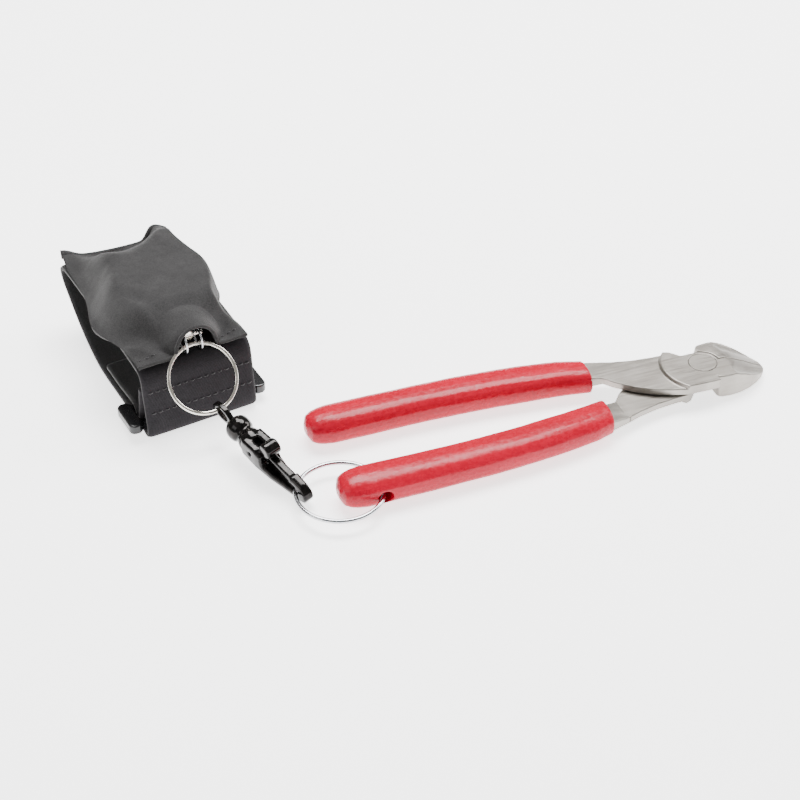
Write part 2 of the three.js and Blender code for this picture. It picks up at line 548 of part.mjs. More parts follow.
function hood() {
  const [columns, rows] = [22, 24];
  const points = [];
  const grid = (under) => {
    for (let j = 0; j <= rows; j += 1) {
      for (let i = 0; i <= columns; i += 1) {
        const y = HOOD.front + ((hoodBack((BAND_WIDTH * i) / columns) - HOOD.front) * j) / rows;
        const x = THREE.MathUtils.lerp(hoodLeft(y), hoodRight(y), i / columns);
        const high = hoodTop(x, y);
        points.push(V(x, y, under ? Math.max(HOOD.base - HOOD.thick, high - HOOD.thick - 0.3) : high));
      }
    }
  };
  grid(false);
  grid(true);
  const wide = columns + 1;
  const below = wide * (rows + 1);
  const faces = [];
  const quad = (a, b, c, d) => faces.push(a, b, c, a, c, d);
  for (let j = 0; j < rows; j += 1) {
    for (let i = 0; i < columns; i += 1) {
      const a = j * wide + i;
      quad(a, a + 1, a + 1 + wide, a + wide);
      quad(a + below, a + wide + below, a + 1 + wide + below, a + 1 + below);
    }
  }
  for (let i = 0; i < columns; i += 1) {
    const back = rows * wide + i;
    quad(i, i + below, i + 1 + below, i + 1);
    quad(back + 1, back + 1 + below, back + below, back);
  }
  for (let j = 0; j < rows; j += 1) {
    const left = j * wide;
    const right = left + columns;
    quad(left + wide, left + wide + below, left + below, left);
    quad(right, right + below, right + wide + below, right + wide);
  }
  const geometry = new THREE.BufferGeometry().setFromPoints(points);
  geometry.setIndex(faces);
  return geometry;
}

const PATCH = { front: 23, back: 45, thick: 1.2, inset: 2 };
const patch = (low) => new THREE.BoxGeometry(BAND_WIDTH - 2 * PATCH.inset, PATCH.back - PATCH.front, PATCH.thick)
  .translate(BAND_WIDTH / 2, (PATCH.front + PATCH.back) / 2, low + PATCH.thick / 2);

add('wrist_band', acrossStrap(strap()), fabric(), pouch);
add('buckle', buckle(), plastic(), pouch);
add('loop_patch', patch(3.6), fabric(), pouch);
add('hook_patch', patch(5.1), plastic(), pouch);
add('hood', hood(), fabric(), pouch);

// Origin at the middle of the underside.
model.updateMatrixWorld(true);
const bounds = new THREE.Box3().setFromObject(model, true);
const middle = bounds.getCenter(V(0, 0));
model.position.set(-middle.x, -middle.y, -bounds.min.z);

export default model;
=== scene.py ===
"""Looks of the fishing pliers and their wrist reel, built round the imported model. Lengths are in metres."""

import json
import math

import bmesh
import bpy
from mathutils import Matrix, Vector, noise as field


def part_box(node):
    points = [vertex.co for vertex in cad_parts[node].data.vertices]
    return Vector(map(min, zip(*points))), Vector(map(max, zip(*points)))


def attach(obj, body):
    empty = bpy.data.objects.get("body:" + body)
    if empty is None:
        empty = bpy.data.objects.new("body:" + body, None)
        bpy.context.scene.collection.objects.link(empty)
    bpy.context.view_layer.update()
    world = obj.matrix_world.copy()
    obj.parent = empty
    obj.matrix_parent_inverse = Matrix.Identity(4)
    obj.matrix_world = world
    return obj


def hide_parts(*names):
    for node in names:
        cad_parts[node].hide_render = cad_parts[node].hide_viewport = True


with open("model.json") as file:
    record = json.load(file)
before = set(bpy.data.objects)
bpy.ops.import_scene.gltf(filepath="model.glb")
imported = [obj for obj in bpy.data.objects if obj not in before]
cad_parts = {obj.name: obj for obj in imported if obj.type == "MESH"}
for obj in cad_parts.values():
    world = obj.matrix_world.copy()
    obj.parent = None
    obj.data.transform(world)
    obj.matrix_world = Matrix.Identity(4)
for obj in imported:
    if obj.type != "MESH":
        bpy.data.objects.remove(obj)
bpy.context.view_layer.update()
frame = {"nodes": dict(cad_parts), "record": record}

MM = 0.001


def middle(node):
    low, high = (Vector(c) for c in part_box(node))
    return (low + high) / 2


# ---- Places, all from the frame ---------------------------------------------------------------------

joints = {j["name"]: j for j in frame["record"]["behaviour"]["joints"]}
body_of = {n: b for b, members in frame["record"]["behaviour"]["bodies"].items() for n in members}
PIVOT = middle("pivot_rivet")

# The pouch's own frame: X across the strap, Y to its back, Z up, in millimetres. The reel's case is in it.
CORD_PULL = Vector(joints["cord_pull"]["axis"]).normalized()
POUCH_X = Vector((CORD_PULL.y, -CORD_PULL.x, 0))
REEL = (30.5, 47.0)
_reel = middle("case_base")
POUCH_AT = Vector((_reel.x, _reel.y, 0)) - POUCH_X * REEL[0] * MM - CORD_PULL * REEL[1] * MM


def pouch(u, v, z):
    """A place in the pouch's frame, in millimetres, as one in the row frame, in metres."""
    return POUCH_AT + POUCH_X * (u * MM) + CORD_PULL * (v * MM) + Vector((0, 0, z * MM))


# ---- Camera, floor and light ------------------------------------------------------------------------

CAMERA_TURN = math.radians(20.1)
CAMERA_RISE = math.radians(38.5)
CAMERA_FAR = 0.8
CAMERA_LENS = 82.8
CAMERA_AIM = Vector((PIVOT.x - 0.1275, PIVOT.y + 0.0349, 0))


def make_camera():
    data = bpy.data.cameras.new("camera")
    data.lens = CAMERA_LENS
    data.sensor_width = 36
    data.clip_start = 0.01
    camera = bpy.data.objects.new("camera", data)
    bpy.context.scene.collection.objects.link(camera)
    flat = math.cos(CAMERA_RISE)
    back = Vector((-math.sin(CAMERA_TURN) * flat, -math.cos(CAMERA_TURN) * flat, math.sin(CAMERA_RISE)))
    camera.location = CAMERA_AIM + back * CAMERA_FAR
    camera.rotation_mode = "QUATERNION"
    camera.rotation_quaternion = back.to_track_quat("Z", "Y")
    bpy.context.scene.camera = camera


def make_light(name, place, size, power):
    data = bpy.data.lights.new(name, "AREA")
    data.shape = "RECTANGLE"
    data.size, data.size_y = size
    data.energy = power
    light = bpy.data.objects.new(name, data)
    bpy.context.scene.collection.objects.link(light)
    light.location = CAMERA_AIM + Vector(place)
    light.rotation_mode = "QUATERNION"
    light.rotation_quaternion = Vector(place).to_track_quat("Z", "Y")


def make_world():
    world = bpy.data.worlds.new("studio")
    bpy.context.scene.world = world
    world.use_nodes = True
    background = world.node_tree.nodes["Background"]
    background.inputs["Color"].default_value = (1, 0.985, 0.96, 1)
    background.inputs["Strength"].default_value = 0.38


# ---- Node helpers -----------------------------------------------------------------------------------


class Finish:
    """One procedural material. Its textures are laid in the object's own space, in metres."""

    def __init__(self, name, roughness, metallic=0.0, **sockets):
        self.material = bpy.data.materials.new(name)
        self.material.use_nodes = True
        self.tree = self.material.node_tree
        self.shader = self.tree.nodes["Principled BSDF"]
        self.place = self.tree.nodes.new("ShaderNodeTexCoord").outputs["Object"]
        self.set("Roughness", roughness)
        self.set("Metallic", metallic)
        for socket, value in sockets.items():
            self.set(socket.replace("_", " "), value)
        self.bump_chain = None

    def set(self, socket, value):
        self.shader.inputs[socket].default_value = value

    def put(self, socket, output):
        self.tree.links.new(output, self.shader.inputs[socket])

    def mapped(self, stretch=(1, 1, 1), turn=(0, 0, 0)):
        node = self.tree.nodes.new("ShaderNodeMapping")
        node.inputs["Scale"].default_value = stretch
        node.inputs["Rotation"].default_value = turn
        self.tree.links.new(self.place, node.inputs["Vector"])
        return node.outputs["Vector"]

    def noise(self, size, detail=2.0, stretch=(1, 1, 1), turn=(0, 0, 0), rough=0.5):
        """Noise whose features are about size metres across."""
        node = self.tree.nodes.new("ShaderNodeTexNoise")
        node.inputs["Scale"].default_value = 1 / size
        node.inputs["Detail"].default_value = detail
        node.inputs["Roughness"].default_value = rough
        self.tree.links.new(self.mapped(stretch, turn), node.inputs["Vector"])
        return node.outputs["Fac"]

    def cells(self, size, stretch=(1, 1, 1)):
        node = self.tree.nodes.new("ShaderNodeTexVoronoi")
        node.inputs["Scale"].default_value = 1 / size
        self.tree.links.new(self.mapped(stretch), node.inputs["Vector"])
        return node.outputs["Distance"]

    def ribs(self, size, turn=(0, 0, 0), distortion=0.0):
        node = self.tree.nodes.new("ShaderNodeTexWave")
        node.inputs["Scale"].default_value = 0.31 / size
        node.inputs["Distortion"].default_value = distortion
        self.tree.links.new(self.mapped((1, 1, 1), turn), node.inputs["Vector"])
        return node.outputs["Fac"]

    def ramp(self, source, *stops):
        """source through a ramp of (place, value or colour) stops."""
        node = self.tree.nodes.new("ShaderNodeValToRGB")
        node.color_ramp.elements[0].position = stops[0][0]
        node.color_ramp.elements[1].position = stops[-1][0]
        for at, _ in stops[1:-1]:
            node.color_ramp.elements.new(at)
        for element, (_, value) in zip(node.color_ramp.elements, stops):
            element.color = (*value, 1) if isinstance(value, tuple) else (value, value, value, 1)
        self.tree.links.new(source, node.inputs["Fac"])
        return node.outputs["Color"]

    def mix(self, a, b, share, blend="MIX"):
        node = self.tree.nodes.new("ShaderNodeMix")
        node.data_type = "RGBA"
        node.blend_type = blend
        for socket, value in ((node.inputs["Factor"], share), (node.inputs[6], a), (node.inputs[7], b)):
            if isinstance(value, bpy.types.NodeSocket):
                self.tree.links.new(value, socket)
            else:
                socket.default_value = value if isinstance(value, (int, float)) else (*value, 1)
        return node.outputs[2]

    def bump(self, height, depth, strength=1.0):
        node = self.tree.nodes.new("ShaderNodeBump")
        node.inputs["Strength"].default_value = strength
        node.inputs["Distance"].default_value = depth
        self.tree.links.new(height, node.inputs["Height"])
        if self.bump_chain:
            self.tree.links.new(self.bump_chain, node.inputs["Normal"])
        self.bump_chain = node.outputs["Normal"]
        self.put("Normal", self.bump_chain)


# ---- Materials --------------------------------------------------------------------------------------


def ground_steel():
    """Forged steel, ground to a satin: fine lines along the tool, slow grey-brown clouds."""
    made = Finish("ground_steel", 0.4, 0.9)
    lines = made.noise(0.0011, 4, (0.06, 1, 1), rough=0.7)
    clouds = made.noise(0.012, 3)
    tone = made.mix(made.ramp(lines, (0.3, (0.24, 0.222, 0.2)), (0.7, (0.37, 0.346, 0.315))),
                    made.ramp(clouds, (0.35, (0.24, 0.22, 0.197)), (0.65, (0.37, 0.346, 0.315))), 0.5)
    made.put("Base Color", tone)
    made.put("Roughness", made.ramp(lines, (0.25, 0.3), (0.75, 0.48)))
    made.bump(lines, 0.00003, 0.5)
    made.bump(made.noise(0.00025, 2), 0.000008, 0.4)
    return made.material


def dipped_vinyl():
    """Thick glossy red dip: pebbled skin, runs along the handle, deeper where it pooled."""
    made = Finish("dipped_vinyl", 0.26, Specular_IOR_Level=0.2, Coat_Weight=0.04, Coat_Roughness=0.1)
    pebble = made.noise(0.0016, 2.5, (0.7, 1, 1), rough=0.55)
    fine = made.noise(0.0005, 2)
    runs = made.noise(0.007, 3, (0.18, 1, 1))
    colour = made.mix(made.ramp(runs, (0.3, (0.33, 0.0003, 0.013)), (0.7, (0.46, 0.0005, 0.021))),
                      made.ramp(pebble, (0.3, (0.35, 0.0004, 0.014)), (0.72, (0.52, 0.001, 0.027))), 0.45)
    made.put("Base Color", colour)
    made.put("Roughness", made.ramp(pebble, (0.3, 0.2), (0.7, 0.34)))
    made.bump(runs, 0.0006, 0.35)
    made.bump(pebble, 0.0002, 0.5)
    made.bump(fine, 0.00004, 0.35)
    return made.material


def plated(name, colour, rough, grime=0.75):
    """Bright plated wire or casting, with faint drawing marks and duller patches."""
    made = Finish(name, rough, 1.0)
    marks = made.noise(0.0009, 3, rough=0.65)
    dull = tuple(c * grime for c in colour)
    made.put("Base Color", made.ramp(marks, (0.3, dull), (0.62, colour)))
    made.put("Roughness", made.ramp(marks, (0.3, rough + 0.1), (0.7, max(0.04, rough - 0.03))))
    made.bump(marks, 0.00002, 0.35)
    return made.material


def black_nickel():
    """Glossy black plating over a cast snap: dark and mirror-like, its casting faintly rippled."""
    made = Finish("black_nickel", 0.1, 0.8, Specular_IOR_Level=0.3, Coat_Weight=0.15, Coat_Roughness=0.04)
    ripple = made.noise(0.0022, 3)
    made.put("Base Color", made.ramp(ripple, (0.35, (0.005, 0.005, 0.005)), (0.7, (0.022, 0.019, 0.018))))
    made.put("Roughness", made.ramp(made.noise(0.0008, 2), (0.3, 0.07), (0.7, 0.19)))
    made.bump(ripple, 0.00012, 0.4)
    return made.material


def knit(name, dark, light, loop=0.00055, depth=0.00012, turn=0.0, sheen=0.25):
    """A close knitted face: rows of small loops, a speckle of lighter yarn, a soft bloom."""
    made = Finish(name, 0.92, Specular_IOR_Level=0.2, Sheen_Weight=sheen, Sheen_Roughness=0.45,
                  Sheen_Tint=(0.8, 0.79, 0.78, 1))
    rows = made.ribs(loop, (0, 0, turn), 2.0)
    across = made.ribs(loop * 0.8, (0, 0, turn + math.pi / 2), 1.5)
    weave = made.mix(rows, across, 0.5)
    speckle = made.noise(0.0005, 2, rough=0.7)
    slow = made.noise(0.009, 3)
    yarn = made.mix(made.ramp(speckle, (0.35, dark), (0.7, light)),
                    made.ramp(slow, (0.3, dark), (0.75, light)), 0.35)
    made.put("Base Color", made.mix(yarn, made.ramp(weave, (0.2, 0.55), (0.7, 1.0)), 0.6, "MULTIPLY"))
    made.put("Roughness", made.ramp(speckle, (0.3, 0.98), (0.7, 0.85)))
    made.bump(weave, depth, 0.7)
    made.bump(speckle, 0.00008, 0.5)
    made.bump(slow, 0.0003, 0.25)
    return made.material


def moulded(name, colour, rough):
    """Moulded plastic: fine sparkle-grained skin with slight flow marks."""
    made = Finish(name, rough, Specular_IOR_Level=0.5)
    flow = made.noise(0.006, 3, (0.4, 1, 1))
    grain = made.noise(0.0004, 2)
    made.put("Base Color", made.ramp(flow, (0.3, tuple(c * 0.75 for c in colour)), (0.7, colour)))
    made.put("Roughness", made.ramp(grain, (0.3, rough - 0.05), (0.7, rough + 0.12)))
    made.bump(grain, 0.00003, 0.4)
    made.bump(flow, 0.0001, 0.2)
    return made.material


def braided():
    """The reel's cord: a tight twist of dark fibres."""
    made = Finish("braided_cord", 0.7, Sheen_Weight=0.2)
    twist = made.ribs(0.0006, (0, 0, 0.7), 0.5)
    made.put("Base Color", made.ramp(twist, (0.2, (0.008, 0.008, 0.009)), (0.8, (0.035, 0.035, 0.038))))
    made.put("Roughness", made.ramp(twist, (0.2, 0.85), (0.8, 0.6)))
    made.bump(twist, 0.00015, 0.8)
    return made.material


def fuzzy(name, colour, size, depth):
    """Hook or loop tape: a dense field of tiny tufts."""
    made = Finish(name, 0.95, Sheen_Weight=0.3)
    tufts = made.cells(size)
    made.put("Base Color", made.ramp(tufts, (0.0, tuple(min(1, c * 2.2) for c in colour)), (0.7, colour)))
    made.put("Roughness", made.ramp(tufts, (0.0, 0.8), (0.7, 1.0)))
    made.bump(tufts, depth, 1.0)
    return made.material


def white_floor():
    """The white floor, faintly lit from below as a light table is, so it stays pale under soft shadows."""
    made = Finish("floor_white", 0.85, Specular_IOR_Level=0.1)
    made.put("Base Color", made.ramp(made.noise(0.2, 2), (0.3, 0.88), (0.7, 0.9)))
    made.set("Emission Color", (1, 1, 1, 1))
    made.set("Emission Strength", 2.3)
    return made.material


KNIT_TURN = 0.155  # the rows run with the strap, which lies turned by this much
FINISHES = {
    "steel": ground_steel(),
    "grip_vinyl": dipped_vinyl(),
    "bright_wire": plated("bright_wire", (0.6, 0.61, 0.63), 0.12, 0.7),
    "bright_nickel": plated("bright_nickel", (0.85, 0.81, 0.74), 0.07, 0.85),
    "black_nickel": black_nickel(),
    "spring_steel": plated("spring_steel", (0.4, 0.41, 0.43), 0.28),
    "case_plastic": moulded("case_plastic", (0.02, 0.02, 0.022), 0.4),
    "buckle_plastic": moulded("buckle_plastic", (0.008, 0.008, 0.009), 0.17),
    "cord": braided(),
    # The strap's knit is a darker copy of the hood's knit: its lower colours are painted shade for the strap's
    # front panel.
    "strap_fabric": knit("strap_knit_painted_shade", (0.013, 0.0115, 0.0135), (0.027, 0.0245, 0.028),
                         loop=0.00042, depth=0.00006, turn=KNIT_TURN, sheen=0.1),
    "hood_fabric": knit("hood_knit", (0.021, 0.0205, 0.0208), (0.047, 0.0455, 0.046),
                        loop=0.00045, depth=0.00007, turn=KNIT_TURN, sheen=0.15),
    "patch_fabric": fuzzy("hook_tape", (0.008, 0.008, 0.009), 0.0011, 0.0004),
}
LOOP_TAPE = fuzzy("loop_tape", (0.018, 0.018, 0.02), 0.0009, 0.0003)
THREAD = fuzzy("sewing_thread", (0.011, 0.01, 0.011), 0.0004, 0.0001)

# ---- Mesh helpers -----------------------------------------------------------------------------------


def new_piece(name, verts, faces, finish, body):
    """A mesh from places in metres, smooth, facing out, riding on body."""
    mesh = bpy.data.meshes.new(name)
    mesh.from_pydata([tuple(v) for v in verts], [], faces)
    return settle(bpy.data.objects.new(name, mesh), finish, body)


def settle(piece, finish, body):
    """Links a made object, turns its faces out, smooths it and puts it on its body."""
    bpy.context.scene.collection.objects.link(piece)
    shape = bmesh.new()
    shape.from_mesh(piece.data)
    bmesh.ops.recalc_face_normals(shape, faces=shape.faces)
    for face in shape.faces:
        face.smooth = True
    shape.to_mesh(piece.data)
    shape.free()
    piece.data.materials.clear()
    piece.data.materials.append(finish)
    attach(piece, body)
    return piece


def modify(piece, kind, **values):
    """Adds a modifier and keeps it live."""
    modifier = piece.modifiers.new(kind.lower(), kind)
    for key, value in values.items():
        setattr(modifier, key, value)
    return modifier


def applied(piece):
    """Replaces a piece's mesh by what its modifiers make of it."""
    bpy.context.view_layer.update()
    evaluated = piece.evaluated_get(bpy.context.evaluated_depsgraph_get())
    mesh = bpy.data.meshes.new_from_object(evaluated)
    piece.modifiers.clear()
    piece.data = mesh
    for polygon in mesh.polygons:
        polygon.use_smooth = True
    return piece


def copy_of(node, name):
    """A welded copy of a CAD node's mesh, to be worked on as its own object."""
    mesh = bpy.data.meshes.new(name)
    shape = bmesh.new()
    shape.from_mesh(frame["nodes"][node].data)
    bmesh.ops.remove_doubles(shape, verts=shape.verts, dist=1e-6)
    shape.to_mesh(mesh)
    shape.free()
    return bpy.data.objects.new(name, mesh)


def cast(node, voxel, rounds, finish, swell=0.0):
    """Stands for a CAD node with every arris eased, as a casting or a moulding has."""
    piece = copy_of(node, node + "_eased")
    settle(piece, finish, body_of[node])
    modify(piece, "REMESH", mode="VOXEL", voxel_size=voxel, use_smooth_shade=True)
    modify(piece, "SMOOTH", factor=0.5, iterations=rounds)
    applied(piece)
    swollen = [c for vertex in piece.data.vertices for c in vertex.co + vertex.normal * swell]
    piece.data.vertices.foreach_set("co", swollen)
    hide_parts(node)
    return piece


def machined(node, width, finish, angle=28):
    """Keeps a CAD node, its arrises broken by a small bevel that catches the light."""
    piece = frame["nodes"][node]
    if "custom_normal" in piece.data.attributes:
        piece.data.attributes.remove(piece.data.attributes["custom_normal"])
    piece.data.polygons.foreach_set("use_smooth", [True] * len(piece.data.polygons))
    modify(piece, "WELD", merge_threshold=2e-6)
    modify(piece, "DECIMATE", decimate_type="DISSOLVE", angle_limit=math.radians(0.6))
    modify(piece, "BEVEL", width=width, segments=2, limit_method="ANGLE", angle_limit=math.radians(angle),
           use_clamp_overlap=False, harden_normals=True)
    modify(piece, "WEIGHTED_NORMAL", weight=80, keep_sharp=True)
    piece.data.materials.clear()
    piece.data.materials.append(finish)
    return piece


def ring(name, centre, axis, radius, wire, finish, body, around=160, sides=20):
    """A closed round wire ring."""
    axis = axis.normalized()
    first = axis.orthogonal().normalized()
    second = axis.cross(first)
    verts, faces = [], []
    for i in range(around):
        angle = 2 * math.pi * i / around
        out = first * math.cos(angle) + second * math.sin(angle)
        middle_at = centre + out * radius
        for j in range(sides):
            turn = 2 * math.pi * j / sides
            verts.append(middle_at + out * (wire * math.cos(turn)) + axis * (wire * math.sin(turn)))
    for i in range(around):
        for j in range(sides):
            a, b = i * sides, ((i + 1) % around) * sides
            k = (j + 1) % sides
            faces.append((a + j, b + j, b + k, a + k))
    return new_piece(name, verts, faces, finish, body)


def swept(name, path, section, finish, body):
    """section(i) gives the places of one cross-section of a piece; the sections are skinned in turn."""
    verts, faces = [], []
    count = len(section(0))
    for i in range(path):
        verts += section(i)
    for i in range(path - 1):
        for j in range(count):
            k = (j + 1) % count
            a, b = i * count, (i + 1) * count
            faces.append((a + j, b + j, b + k, a + k))
    faces.append(tuple(reversed(range(count))))
    faces.append(tuple(range((path - 1) * count, path * count)))
    return new_piece(name, verts, faces, finish, body)


def spline(points, per_span):
    """A centripetal Catmull-Rom line through points of any dimension."""
    points = [Vector(p) for p in points]
    points = [2 * points[0] - points[1]] + points + [2 * points[-1] - points[-2]]
    line = []
    for a, b, c, d in zip(points, points[1:], points[2:], points[3:]):
        t1 = (b - a).length ** 0.5
        t2 = t1 + (c - b).length ** 0.5
        t3 = t2 + (d - c).length ** 0.5
        for i in range(per_span):
            t = t1 + (t2 - t1) * i / per_span
            ab = a * ((t1 - t) / t1) + b * (t / t1)
            bc = b * ((t2 - t) / (t2 - t1)) + c * ((t - t1) / (t2 - t1))
            cd = c * ((t3 - t) / (t3 - t2)) + d * ((t - t2) / (t3 - t2))
            abc = ab * ((t2 - t) / t2) + bc * (t / t2)
            bcd = bc * ((t3 - t) / (t3 - t1)) + cd * ((t - t1) / (t3 - t1))
            line.append(abc * ((t2 - t) / (t2 - t1)) + bcd * ((t - t1) / (t2 - t1)))
    return line + [points[-2]]


def evenly(line, count):
    """count places spaced evenly along a line, with its whole length."""
    along = [0.0]
    for a, b in zip(line, line[1:]):
        along.append(along[-1] + (b - a).length)
    placed, i = [], 0
    for k in range(count):
        want = along[-1] * k / (count - 1)
        while i < len(line) - 2 and along[i + 1] < want:
            i += 1
        span = along[i + 1] - along[i]
        placed.append(line[i].lerp(line[i + 1], (want - along[i]) / span if span else 0))
    return placed, along[-1]


def ease(t):
    return math.sin(math.pi / 2 * min(1.0, max(0.0, t))) ** 2


def hill(at, top, wide):
    return math.exp(-(((at - top) / wide) ** 2))


def make_floor():
    shape = bmesh.new()
    bmesh.ops.create_grid(shape, x_segments=8, y_segments=8, size=4)
    mesh = bpy.data.meshes.new("floor")
    shape.to_mesh(mesh)
    shape.free()
    floor = bpy.data.objects.new("floor", mesh)
    bpy.context.scene.collection.objects.link(floor)
    floor.location.z = -0.0002
    floor.data.materials.append(white_floor())


make_camera()
make_floor()
make_world()
make_light("top", (0.15, 0.4, 1.1), (0.9, 0.55), 36)
make_light("left", (-1.1, -0.25, 0.75), (0.7, 0.5), 3.5)
make_light("right", (1.1, 0.15, 0.7), (0.5, 0.7), 11)

# ---- Pliers -----------------------------------------------------------------------------------------

for node in ("lever_top", "lever_bottom"):
    machined(node, 0.35 * MM, FINISHES["steel"])
machined("pivot_rivet", 0.12 * MM, FINISHES["steel"])


def dipped_grip(node):
    """The dip's skin over a handle: soft at its mouth, with slow swells and a thick rounded tail."""
    piece = cast(node, 0.62 * MM, 3, FINISHES["grip_vinyl"])
    skin = [(vertex.co.copy(), vertex.normal.copy()) for vertex in piece.data.vertices]
    moved = []
    for at, out in skin:
        slow = field.noise(Vector((at.x * 55, at.y * 110, at.z * 110)))
        fine = field.noise(at * 480)
        swell = (0.16 * slow + 0.05 * fine - 0.14) * MM
        moved.extend(at + out * swell)
    piece.data.vertices.foreach_set("co", moved)
    return piece


dipped_grip("grip_far")
dipped_grip("grip_near")

# ---- Rings ------------------------------------------------------------------------------------------

TETHER_WIRE = 2.0 * MM
tether_low, tether_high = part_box("tether_ring")
tether = ring("tether_wire_ring", (tether_low + tether_high) / 2, Vector((0, 0, 1)),
              (tether_high.x - tether_low.x) / 2 - TETHER_WIRE / 2, TETHER_WIRE / 2 - 0.00004,
              FINISHES["bright_wire"], body_of["tether_ring"], 200, 20)
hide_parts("tether_ring")

JUMP_WIRE = 1.0 * MM
for node in ("jump_ring_left", "jump_ring_right"):
    low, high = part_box(node)
    made = ring(node + "_wire", (low + high) / 2, POUCH_X,
                (high.z - low.z) / 2 - JUMP_WIRE / 2, JUMP_WIRE / 2 - 0.00003,
                FINISHES["bright_wire"], body_of[node], 96, 14)
    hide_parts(node)

SPLIT_TILT = math.radians(52)
SPLIT_OD, SPLIT_WIDE, SPLIT_COIL = 31.0, 1.5, 1.1


def split_ring():
    """Two turns of flat wire, each crossing to the other level over a short step."""
    centre = middle("split_ring")
    up = (Vector((0, 0, 1)) * math.cos(SPLIT_TILT) - CORD_PULL * math.sin(SPLIT_TILT)).normalized()
    across = up.cross(POUCH_X).normalized()
    turns, steps, sides = 2.0, 360, 16
    begin = math.radians(48)

    def level(share):
        """Height of the wire's middle, in coils from the ring's middle."""
        return 0.5 - ease((share - 0.455) / 0.09)

    def section(i):
        share = i / (steps - 1)
        angle = begin - 2 * math.pi * turns * share * 0.985
        out = POUCH_X * math.cos(angle) + across * math.sin(angle)
        tip = min(1.0, share / 0.004, (1 - share) / 0.004)
        half_wide = (SPLIT_WIDE / 2 - 0.02) * MM * (0.55 + 0.45 * tip)
        half_tall = (SPLIT_COIL / 2 - 0.01) * MM * (0.55 + 0.45 * tip)
        slip = (across * 0.2 - POUCH_X * 0.25) * (level(share) * MM)
        place = (centre + slip + out * ((SPLIT_OD - SPLIT_WIDE) / 2 * MM)
                 + up * (level(share) * (SPLIT_COIL + 0.08) * MM))
        found = []
        for j in range(sides):
            t = 2 * math.pi * j / sides
            c, s = math.cos(t), math.sin(t)
            found.append(place + out * (half_wide * math.copysign(abs(c) ** 0.8, c))
                         + up * (half_tall * math.copysign(abs(s) ** 0.8, s)))
        return found

    made = swept("split_ring_coil", steps, section, FINISHES["bright_nickel"],
                 body_of["split_ring"])
    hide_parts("split_ring")


split_ring()

# ---- Snap, cord end and reel ------------------------------------------------------------------------

# Each casting's node, voxel size, rounds of smoothing, and the swell that makes good what they take off.
CASTINGS = (("swivel_eye", 0.2, 10, 0.1), ("snap_body", 0.22, 56, 0.5), ("snap_trigger", 0.2, 40, 0.4))
for node, voxel, rounds, swell in CASTINGS:
    cast(node, voxel * MM, rounds, FINISHES["black_nickel"], swell * MM)
machined("trigger_pin", 0.15 * MM, FINISHES["black_nickel"])
machined("trigger_spring", 0.03 * MM, FINISHES["spring_steel"], 70)
machined("cord_end", 0.12 * MM, FINISHES["bright_nickel"])
machined("pull_cord", 0.1 * MM, FINISHES["cord"])
machined("case_base", 0.3 * MM, FINISHES["case_plastic"])
machined("case_cover", 0.4 * MM, FINISHES["case_plastic"])
machined("reel_spool", 0.15 * MM, FINISHES["case_plastic"])
machined("cord_winding", 0.1 * MM, FINISHES["cord"])
machined("mainspring", 0.05 * MM, FINISHES["spring_steel"], 50)
machined("spindle_screw", 0.12 * MM, FINISHES["spring_steel"])
cast("buckle", 0.35 * MM, 9, FINISHES["buckle_plastic"], 0.2 * MM)
for node, finish in (("loop_patch", LOOP_TAPE), ("hook_patch", FINISHES["patch_fabric"])):
    machined(node, 0.3 * MM, finish)

# ---- Strap ------------------------------------------------------------------------------------------

BAND_WIDTH, BAND_THICK = 50.0, 3.2
BAR_REAR, BAR_HIGH, ROUND_BAR = 16.6, 5.4, 3.7
STRAP_LINE = [
    (6.3, 23), (7.6, 14), (9.1, 6), (8.2, 3), (5.4, 1.7), (2.3, 1.6), (0.7, 2.8), (0.4, 6.5), (1.2, 14), (2.4, 24),
    (3.3, 29.4), (5.6, 32.1), (10, 32.7), (25, 33.5), (60, 33.7), (85, 33.6), (91.5, 32.9), (94.9, 30), (93.4, 26),
    (87, 19.8), (77, 12), (67, 6.3), (57, 2.8), (47, 1.7), (40, 1.7), (30, 1.7), (24, 1.7),
] + [
    (BAR_REAR + ROUND_BAR * math.cos(math.radians(a)), BAR_HIGH + ROUND_BAR * math.sin(math.radians(a)))
    for a in (-90, -135, -180, -225, -270)
] + [(22, 8.9), (30, 8.2), (46, 8.2)]


def make_strap():
    """The strap: two plies of knit over foam, sewn at their edges, its faces a little cushioned between."""
    line, length = evenly(spline([(v, z, 0) for v, z in STRAP_LINE], 14), 300)
    columns = 44

    def face(i, side):
        """One row of places across the strap, on its outer (1) or inner (-1) face."""
        at = line[i]
        along = (line[min(i + 1, len(line) - 1)] - line[max(i - 1, 0)]).normalized()
        out = Vector((along.y, -along.x, 0))
        row = []
        for j in range(columns + 1):
            share = j / columns
            u = BAND_WIDTH * share
            edge = min(u, BAND_WIDTH - u)
            crown = BAND_THICK / 2 * (0.60 + 0.34 * ease(edge / 1.5) + 0.04 * ease(edge / 6))
            slow = 0.08 * field.noise(Vector((u * 0.09, i * 0.06, side)))
            where = at + out * (side * (crown + slow - 0.05))
            row.append(pouch(u + 0.1 * (0.5 - share), where.x, where.y))
        return row

    def section(i):
        return face(i, 1) + list(reversed(face(i, -1)))

    made = swept("wrist_strap", len(line), section, FINISHES["strap_fabric"], "pouch")
    # Up to the shelf under the hood, the front panel and the ply round the buckle keep the darker knit, which is
    # painted shade; the rest of the strap takes the hood's knit.
    made.data.materials.append(FINISHES["hood_fabric"])
    shelf = next(i for i, at in enumerate(line) if i > 40 and at.x > 7 and at.y > 30)
    for polygon in made.data.polygons:
        if polygon.index >= shelf * 2 * (columns + 1):
            polygon.material_index = 1
    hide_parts("wrist_band")
    return made, length


